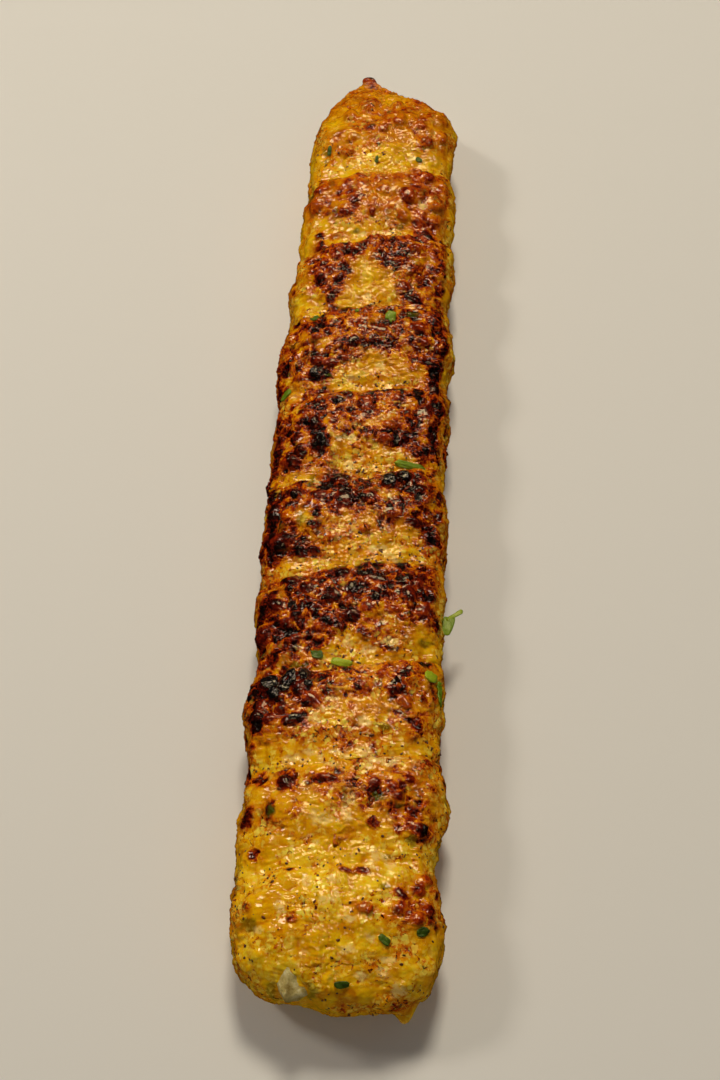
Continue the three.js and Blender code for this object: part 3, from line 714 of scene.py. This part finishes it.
def finish_meat():
    """Browned mince: pale yellow where the browning attribute is 0, black where it is 1."""
    meat = Finish("grilled_meat")
    broad = meat.noise(size=0.0065, detail=3)
    coarse = meat.noise(size=0.0027, detail=4, distortion=0.8)
    fine = meat.noise(size=0.0009, detail=4, roughness=0.62, distortion=1.2)
    drawn = meat.noise(size=0.0014, detail=1, roughness=0.4, distortion=0.8)
    browning = meat.attribute("browning")
    crust = browning.eased(0.25, 0.6)
    brown = browning + (0.16 + 0.12 * crust) * (coarse.eased(0.3, 0.7) - 0.5)
    uneven = 1 - 0.7 * meat.attribute("calm")
    brown = brown + (0.12 + 0.14 * crust) * uneven * (fine.eased(0.3, 0.7) - 0.5)
    rims, tones = meat.cells(size=0.0027, stir=0.0024)
    small_rims, small_tones = meat.cells(size=0.0014, stir=0.0012)
    tones = 0.42 * (tones - 0.5) + 0.25 * (small_tones - 0.5)
    net = rims.eased(0.14, 0) + 0.5 * small_rims.eased(0.16, 0)
    brown = brown + crust * uneven * (0.09 + tones - 0.18 * net) + (1 - crust) * (0.35 * tones + 0.05 * net)
    freckles = meat.noise(size=0.0021, detail=3, distortion=0.5).eased(0.58, 0.7)
    specks = meat.noise(size=0.0011, detail=2, distortion=0.6).eased(0.59, 0.66)
    brown = brown + (0.3 * freckles + 0.6 * specks) * (1 - crust) * broad.eased(0.42, 0.58)
    base = meat.node("ValToRGB", {"stops": BROWNING_STEPS}, {0: brown})
    lemon = broad.eased(0.58, 0.42) * (1 - crust)
    base = meat.mix_colours(lemon * 0.4, base, LEMON)
    base = meat.mix_colours(meat.attribute("green") * (0.45 + 0.4 * fine), base, HERB_STAIN)
    # Painted shade: the creases between the pale folds are multiplied darker and more orange
    base = meat.mix_colours(meat.attribute("hollow") * 0.5, base, PAINTED_SHADE_TINT, blend="MULTIPLY")
    creamy = meat.noise(size=0.0013, detail=3, roughness=0.6, distortion=1.2)
    lumps = small_tones.eased(0.54, 0.7) * small_rims.eased(0, 0.22)
    cream = (0.7 * lumps + 0.6 * creamy.eased(0.54, 0.63)) * broad.eased(0.36, 0.54) * (1 - crust)
    cream = cream * (0.4 + 0.6 * uneven)
    smear = meat.attribute("fat") * creamy.eased(0.33, 0.55)
    base = meat.mix_colours(cream, base, CREAM)
    base = meat.mix_colours(smear * 0.85, base, FAT)
    beads = 0.7 * rims.eased(0, 0.3) + 0.25 * small_rims.eased(0, 0.3)
    height = uneven * ((0.3 + 0.7 * crust) * (drawn + 0.5 * coarse) + crust * beads)
    bump = meat.node("Bump", {}, {"Strength": 1, "Distance": 0.0004, "Height": height})
    oily = (0.65 + 0.5 * broad) * (1 - 0.55 * browning.eased(0.6, 0.9))
    return meat.shade({
        "Base Color": base, "Roughness": 0.25, "Normal": bump,
        "Coat Weight": oily, "Coat Roughness": 0.06, "Coat IOR": 1.5, "Specular IOR Level": 0.1,
        "Subsurface Weight": 0.25, "Subsurface Scale": 0.0015, "Subsurface Radius": (1, 0.4, 0.08),
    })


def add_piece(name, mesh, finish):
    """Puts a finished mesh in the scene as a piece of the object."""
    mesh.materials.append(finish)
    piece = bpy.data.objects.new(name, mesh)
    scene.collection.objects.link(piece)
    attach(piece, "root")
    return piece


meat_finish = finish_meat()
lengths = []
ends = (0, *CUTS, LENGTH)
for name, start, end in zip(("meat_blunt", "meat_middle", "meat_pinched"), ends, ends[1:]):
    mesh, brown, inside = build_meat(name, start, end)
    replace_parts(add_piece(name, mesh, meat_finish), "kofta")
    lengths.append((read_points(mesh)[~inside] / MM, read_points(mesh, "normal")[~inside], brown[~inside]))
skin_points, skin_normals, meat_brown = (np.concatenate(rows) for rows in zip(*lengths))

# ---------- Crust crumbs
# Bits of mince that stand proud of the skin, half sunk in it. They catch the fire first, so they are
# browner than what is round them.
CRUMBS = {
    "count": 220, "half": (0.6, 1.1), "longer": (1, 1.7), "flatness": (0.3, 0.5), "sunk": 0.4, "bend": 1,
    "browner": (-0.02, 0.22), "seed": 5,
}

# How small pieces are bent out of round: the share of their size, and the noise's size and seed
BENDS = ((0.45, 1.1, 91), (0.2, 0.5, 91))
OFF_TABLE = 0.02

skin_tree = KDTree(len(skin_points))
for index, point in enumerate(skin_points):
    skin_tree.insert(point, index)
skin_tree.balance()


def on_top(along, across):
    """Which point of the skin lies nearest to a place on the top."""
    x, y = across + AXIS[0], along - LENGTH / 2 + AXIS[1]
    away = np.hypot(skin_points[:, 0] - x, skin_points[:, 1] - y)
    return int(np.argmin(np.where(skin_normals[:, 2] > 0, away, np.inf)))


def turned_to(normals, turns):
    """For each normal, two directions along the skin, turned about the normal, and then the normal."""
    along = np.stack((np.zeros(len(normals)), normals[:, 2], -normals[:, 1]), axis=1) + (0, 1e-6, 0)
    along /= np.linalg.norm(along, axis=1)[:, None]
    across = np.cross(along, normals)
    c, s = np.cos(turns)[:, None], np.sin(turns)[:, None]
    return np.stack((c * along + s * across, c * across - s * along, normals), axis=1)


def scatter(name, shape, at, turns, halves, kind):
    """Joins a copy of a small round shape for each place on the skin, sunk in it and bent out of round."""
    bm = bmesh.new()
    for _ in at:
        bm.from_mesh(shape)
    mesh = mesh_from(bm, name)
    points = read_points(mesh).reshape(len(at), -1, 3)
    points = points * halves[:, None, :]
    points[:, :, 2] -= kind["sunk"] * halves[:, 2, None]
    frames = turned_to(skin_normals[at], turns)
    points = (np.einsum("nvk,nkc->nvc", points, frames) + skin_points[at][:, None, :]).reshape(-1, 3)
    size = np.repeat(halves.mean(axis=1), len(points) // len(at))
    for share, grain, seed in BENDS:
        points += kind["bend"] * share * size[:, None] * noise_each_way(points, grain, seed)
    points[:, 2] = np.maximum(points[:, 2], OFF_TABLE)
    write_points(mesh, points * MM)
    mesh.shade_smooth()
    return mesh


def small_ball(rings, segments):
    bm = bmesh.new()
    bmesh.ops.create_uvsphere(bm, u_segments=segments, v_segments=rings, radius=1)
    return mesh_from(bm, "ball")


rng = np.random.default_rng(CRUMBS["seed"])
skin_v = skin_points[:, 1] - AXIS[1] + LENGTH / 2 - 0.14 * (skin_points[:, 0] - AXIS[0])
chance = smooth(0.35, 0.7, meat_brown) * smooth(-0.4, 0.3, skin_normals[:, 2])
chance = chance * smooth(225, 190, skin_v) + 1e-5
crumb_at = rng.choice(len(skin_points), CRUMBS["count"], replace=False, p=chance / chance.sum())
count = len(crumb_at)
half = rng.uniform(*CRUMBS["half"], count) ** 1.5
long_half = half * rng.uniform(*CRUMBS["longer"], count)
halves = np.stack((long_half, half, half * rng.uniform(*CRUMBS["flatness"], count)), axis=1)
turns = rng.uniform(0, np.pi, count)
crumb_mesh = scatter("crumbs", small_ball(5, 7), crumb_at, turns, halves, CRUMBS)
crumb_brown = meat_brown[crumb_at] + rng.uniform(*CRUMBS["browner"], count)
crumb_brown = np.repeat(crumb_brown, len(crumb_mesh.vertices) // count)
zeros = np.zeros(len(crumb_brown))
add_attributes(crumb_mesh, browning=crumb_brown, hollow=zeros, calm=zeros, fat=zeros, green=zeros)
add_piece("crumbs", crumb_mesh, meat_finish)

# ---------- Blisters
# Where a blister burst and burnt through, it left a bead of glossy char, stuck in its own dome.
# Only the most burnt ones got that far.
CHARRED = 0.95
CHAR_BEADS = {"size": 0.85, "wider": 1.05, "flatness": 0.34, "sunk": 0.45, "bend": 0.6}
CHAR_STEPS = (
    (0, 170, 78, 12), (0.35, 96, 34, 10), (0.6, 44, 17, 11), (0.8, 22, 12, 12),
    (1, 11, 9, 11),
)


def finish_char():
    """Burnt skin, drawn tight and shining, brown where the burnt attribute is low."""
    char = Finish("char")
    fine = char.noise(size=0.0008, detail=2, roughness=0.5)
    coarse = char.noise(size=0.0018, detail=2)
    burnt = char.attribute("burnt") + 0.5 * (coarse - 0.5) + 0.3 * (fine - 0.5)
    base = char.node("ValToRGB", {"stops": CHAR_STEPS}, {0: burnt})
    height = coarse + 0.5 * fine
    bump = char.node("Bump", {}, {"Strength": 1, "Distance": 0.0006, "Height": height})
    return char.shade({
        "Base Color": base, "Roughness": 0.12 + 0.2 * coarse, "Normal": bump,
        "Coat Weight": 0.6, "Coat Roughness": 0.05, "Coat IOR": 1.5,
    })


def round_ball(subdivisions):
    bm = bmesh.new()
    bmesh.ops.create_icosphere(bm, subdivisions=subdivisions, radius=1)
    return mesh_from(bm, "ball")


charred = np.array([row for row in BLISTERS if row[5] >= CHARRED], float)
bead_at = np.array([on_top(along, across) for along, across in charred[:, :2]])
halves = charred[:, 2:4] / 2 * CHAR_BEADS["wider"]
halves = np.column_stack((halves, CHAR_BEADS["flatness"] * halves.min(axis=1))) * CHAR_BEADS["size"]
turns = np.radians(charred[:, 4])
blister_mesh = scatter("blisters", round_ball(3), bead_at, turns, halves, CHAR_BEADS)
burnt = np.repeat(charred[:, 5], len(blister_mesh.vertices) // len(charred))
add_attributes(blister_mesh, burnt=burnt)
add_piece("blisters", blister_mesh, finish_char())

# ---------- Pepper
# Cracked black pepper, stirred into the mince before it was pressed round the blade. The fat washed
# some of it into the creases, and it shows only where the skin stayed pale.
PEPPER = {
    "count": 700, "half": (0.1, 0.36), "longer": (1, 1.9), "flatness": 0.6, "sunk": 0.4, "bend": 1.2,
    "seed": 15,
}


def finish_pepper():
    pepper = Finish("pepper")
    mottle = pepper.noise(size=0.0005, detail=2)
    stops = ((0.3, 34, 16, 6), (0.75, 124, 62, 14))
    base = pepper.node("ValToRGB", {"stops": stops}, {0: mottle})
    return pepper.shade({"Base Color": base, "Roughness": 0.35 + 0.2 * mottle})


rng = np.random.default_rng(PEPPER["seed"])
near_crease = smooth(0.2, 0.02, band_of(skin_v)[1])
clustered = smooth(-0.1, 0.5, soft_noise(skin_points, 9, 17))
chance = (1 - smooth(0.25, 0.6, meat_brown)) * (0.1 + 0.5 * clustered + 0.8 * near_crease)
chance *= smooth(-0.7, 0.1, skin_normals[:, 2]) * mix(1, 0.15, smooth(80, 180, skin_v))
pepper_at = rng.choice(len(skin_points), PEPPER["count"], replace=False, p=chance / chance.sum())
half = rng.uniform(PEPPER["half"][0] ** 0.5, PEPPER["half"][1] ** 0.5, len(pepper_at)) ** 2
long_half = half * rng.uniform(*PEPPER["longer"], len(half))
halves = np.stack((long_half, half, half * PEPPER["flatness"]), axis=1)
turns = rng.uniform(0, np.pi, len(half))
pepper_mesh = scatter("pepper", small_ball(4, 6), pepper_at, turns, halves, PEPPER)
add_piece("pepper", pepper_mesh, finish_pepper())

# ---------- Onion
# One big piece of the chopped onion in the mince shows at the blunt end. It is cooked until it is half
# see-through, and the meat holds it by its back.
ONION = {
    "along": 1.9, "across": -7.8, "half": (3.1, 3.4, 2.9), "sunk": (0, -0.8, 1.2), "cuts": 11,
    "cut_at": (0.75, 1), "sharpness": 14, "unevenness": 0.1, "seed": 24,
}


def finish_onion():
    """Cooked onion: grey cream, half see-through, wet."""
    onion = Finish("onion")
    cloud = onion.noise(size=0.0022, detail=3)
    veins = onion.noise(size=0.0007, detail=3, distortion=1.5)
    stops = ((0.3, 140, 116, 56), (0.5, 192, 172, 104), (0.7, 232, 218, 164))
    base = onion.node("ValToRGB", {"stops": stops}, {0: cloud + 0.3 * (veins - 0.5)})
    height = cloud + 0.6 * veins
    bump = onion.node("Bump", {}, {"Strength": 0.6, "Distance": 0.0005, "Height": height})
    return onion.shade({
        "Base Color": base, "Roughness": 0.2 + 0.2 * veins, "Normal": bump,
        "Coat Weight": 0.5, "Coat Roughness": 0.08, "Specular IOR Level": 0.3,
        "Subsurface Weight": 0.3, "Subsurface Scale": 0.0015, "Subsurface Radius": (1, 0.7, 0.3),
    })


onion_mesh = round_ball(5)
onion_mesh.name = "onion"
points = read_points(onion_mesh)
rng = np.random.default_rng(ONION["seed"])
cuts = rng.normal(size=(ONION["cuts"], 3))
cuts /= np.linalg.norm(cuts, axis=1)[:, None] * rng.uniform(*ONION["cut_at"], len(cuts))[:, None]
beyond = np.maximum(points @ cuts.T, 0) ** ONION["sharpness"]
points /= beyond.sum(axis=1)[:, None] ** (1 / ONION["sharpness"])
points *= 1 + ONION["unevenness"] * soft_noise(points, 0.5, ONION["seed"])[:, None]
points *= ONION["half"]
onion_middle = skin_points[on_top(ONION["along"], ONION["across"])] - ONION["sunk"]
write_points(onion_mesh, (points + onion_middle) * MM)
onion_mesh.shade_smooth()
add_piece("onion", onion_mesh, finish_onion())

# ---------- Herbs
# Chopped coriander leaf, thrown on while the crust was oily, so that it clings to it. One bit on the +X
# side kept its stalk, which stands out.
# Each bit's distance from the blunt end, place across, length, width, turn, how light a green
HERBS = (
    (165.3, 6.1, 3.6, 3, 10, 0.6), (143.9, -18.9, 4, 2, 60, 0.5), (123.2, 12.4, 1.8, 6.6, 12, 0.6),
    (71.2, -1.4, 1.8, 5, 12, 0.85), (72.9, -7, 1.8, 2.8, 0, 0.3), (69.4, 18.4, 2.7, 3.6, 5, 0.8),
    (66.6, 20.4, 6, 1.9, -8, 0.5), (13.9, 18, 2.2, 2.8, 15, 0.2), (11.8, 10.6, 1.5, 2.6, 35, 0.3),
    (3.2, 2.3, 1.6, 3, -8, 0.25), (166.8, -2.2, 3.2, 1, 0, 0.5), (165.4, -13.3, 2.4, 1.8, 40, 0.3),
    (223.2, -12.6, 2.6, 1, 0, 0.2), (220.2, 12.2, 1.4, 1.8, 0, 0.3), (218.4, 0.6, 2.4, 0.8, 10, 0.25),
)
# A leaf's shape, how high over the skin it lies, and how closely it follows the skin
LEAF = {
    "thickness": 0.25, "roundness": 0.34, "raggedness": 0.22, "crinkle": 0.14, "lift": 0.34, "cling": 0.85,
}
SPRIG = {"along": 83.5, "z": 13.5, "leaf": (5, 2.8, 75), "stalk": (4.2, 1.1, 35), "step": 0.38}


def finish_herb():
    """Wilted green leaf, with paler veins, as light as the light attribute says."""
    herb = Finish("herb")
    mottle = herb.noise(size=0.0018, detail=3)
    veins = herb.noise(size=0.0006, detail=2, distortion=2)
    light = herb.attribute("light") + 0.35 * (mottle - 0.5) + 0.2 * (veins - 0.5)
    stops = ((0, 34, 48, 0), (0.3, 66, 96, 0), (0.6, 118, 148, 0), (0.9, 170, 186, 12))
    base = herb.node("ValToRGB", {"stops": stops}, {0: light})
    bump = herb.node("Bump", {}, {"Strength": 0.5, "Distance": 0.0003, "Height": veins + mottle})
    return herb.shade({
        "Base Color": base, "Roughness": 0.3 + 0.2 * mottle, "Normal": bump,
        "Coat Weight": 0.15, "Coat Roughness": 0.1,
        "Subsurface Weight": 0.1, "Subsurface Scale": 0.0006, "Subsurface Radius": (0.8, 1, 0.1),
    })


def leaf_bit(long, wide, seed):
    """A torn bit of leaf lying in XY, its top side crinkled, as a bmesh."""
    bm = bmesh.new()
    bmesh.ops.create_grid(bm, x_segments=8, y_segments=6, size=1)
    for vertex in bm.verts:
        x, y = vertex.co.x, vertex.co.y
        round_x = x * math.sqrt(1 - LEAF["roundness"] * y * y)
        round_y = y * math.sqrt(1 - LEAF["roundness"] * x * x)
        ragged = soft_noise(np.array([[round_x, round_y, 0]]), 0.7, seed)[0]
        grown = 1 + LEAF["raggedness"] * ragged * max(abs(x), abs(y))
        crinkle = soft_noise(np.array([[round_x * long, round_y * wide, 0]]), 1.1, seed + 50)[0]
        vertex.co = (round_x * grown * long / 2, round_y * grown * wide / 2, LEAF["crinkle"] * crinkle)
    bmesh.ops.solidify(bm, geom=list(bm.faces), thickness=LEAF["thickness"])
    bmesh.ops.recalc_face_normals(bm, faces=bm.faces)
    return bm


def add_leaf(joined, bm, points, lights, light):
    """Puts a bit of leaf among the others, its points moved to their place."""
    for vertex, point in zip(bm.verts, points):
        vertex.co = point * MM
    bit = mesh_from(bm, "bit")
    joined.from_mesh(bit)
    lights.extend([light] * len(bit.vertices))


joined = bmesh.new()
lights = []
for seed, (along, across, long, wide, turn, light) in enumerate(HERBS):
    bm = leaf_bit(long, wide, seed)
    at = on_top(along, across)
    frame_rows = turned_to(skin_normals[at : at + 1], np.radians([turn]))[0]
    points = np.array([vertex.co for vertex in bm.verts])
    lift = points[:, 2].copy()
    points[:, 2] = 0
    points = points @ frame_rows + skin_points[at]
    for i, point in enumerate(points):
        _, near, _ = skin_tree.find(point)
        height = (point - skin_points[near]) @ skin_normals[near]
        rise = LEAF["lift"] + lift[i] - LEAF["cling"] * height
        points[i] = point + skin_normals[near] * rise
    add_leaf(joined, bm, points, lights, light)

joint = np.array((HALF_WIDTH["blunt"], SPRIG["along"] - LENGTH / 2, SPRIG["z"])) + AXIS
for seed, (kind, light) in enumerate((("leaf", 0.6), ("stalk", 0.75))):
    long, wide, turn = SPRIG[kind]
    bm = leaf_bit(long, wide, 70 + seed)
    c, s = math.cos(math.radians(turn)), math.sin(math.radians(turn))
    half_way = np.array((c, s, 0)) * SPRIG["step"] * long
    points = np.array([vertex.co for vertex in bm.verts]) @ np.array(((c, s, 0), (-s, c, 0), (0, 0, 1)))
    points += joint + half_way
    joint = joint + 2 * half_way
    add_leaf(joined, bm, points, lights, light)

herb_mesh = mesh_from(joined, "herbs")
add_attributes(herb_mesh, light=np.array(lights))
herb_mesh.shade_smooth()
add_piece("herbs", herb_mesh, finish_herb())

# ---------- Studio
# A plain pale table under a soft warm light, high behind the log, with two weak ones that open up the
# shadows. The oily skin shines back only a window and three lamps, so that it doesn't look hazy.
FLOOR_HALF = 1.5
# Each light's name, place, size, power and colour, and whether it only glints on the oil
LIGHTS = (
    ("key", (0, 0.8, 1.3), 0.3, 13.4, (1, 0.92, 0.76), False),
    ("window", (0.08, 0.8, 1.3), 0.56, 11.5, (1, 0.77, 0.42), True),
    ("lamp", (-0.5, 0.3, 0.7), 0.2, 1.9, (1, 0.78, 0.58), True),
    ("second_lamp", (0.5, 0.2, 0.7), 0.2, 1.4, (1, 0.76, 0.6), True),
    ("front_lamp", (-0.1, -0.7, 0.9), 0.25, 1, (1, 0.78, 0.4), True),
    ("side", (-0.55, 0.15, 0.6), 0.12, 1.4, (1, 0.92, 0.8), False),
    ("fill", (0.4, -0.8, 0.9), 0.6, 0.7, (1, 0.97, 0.94), False),
)
ROOM_LIGHT = {"colour": (1, 0.95, 0.86, 1), "strength": 0.1}

bm = bmesh.new()
bmesh.ops.create_grid(bm, x_segments=1, y_segments=1, size=FLOOR_HALF)
floor_mesh = mesh_from(bm, "floor")
floor_finish = Finish("floor").shade({"Base Color": colour(226, 223, 218), "Roughness": 0.7})
floor_mesh.materials.append(floor_finish)
floor = bpy.data.objects.new("floor", floor_mesh)
scene.collection.objects.link(floor)
floor.visible_glossy = False

for name, place, size, power, tint, only_glints in LIGHTS:
    light_data = bpy.data.lights.new(name, "AREA")
    light_data.size = size
    light_data.energy = power
    light_data.color = tint
    lamp = bpy.data.objects.new(name, light_data)
    lamp.location = place
    lamp.rotation_euler = (-Vector(place)).to_track_quat("-Z", "Y").to_euler()
    lamp.visible_glossy = only_glints
    lamp.visible_diffuse = not only_glints
    scene.collection.objects.link(lamp)

world = bpy.data.worlds.new("world")
scene.world = world
world.use_nodes = True
background = world.node_tree.nodes["Background"]
background.inputs["Color"].default_value = ROOM_LIGHT["colour"]
background.inputs["Strength"].default_value = ROOM_LIGHT["strength"]
world.cycles_visibility.glossy = False
scene.view_settings.view_transform = "Standard"
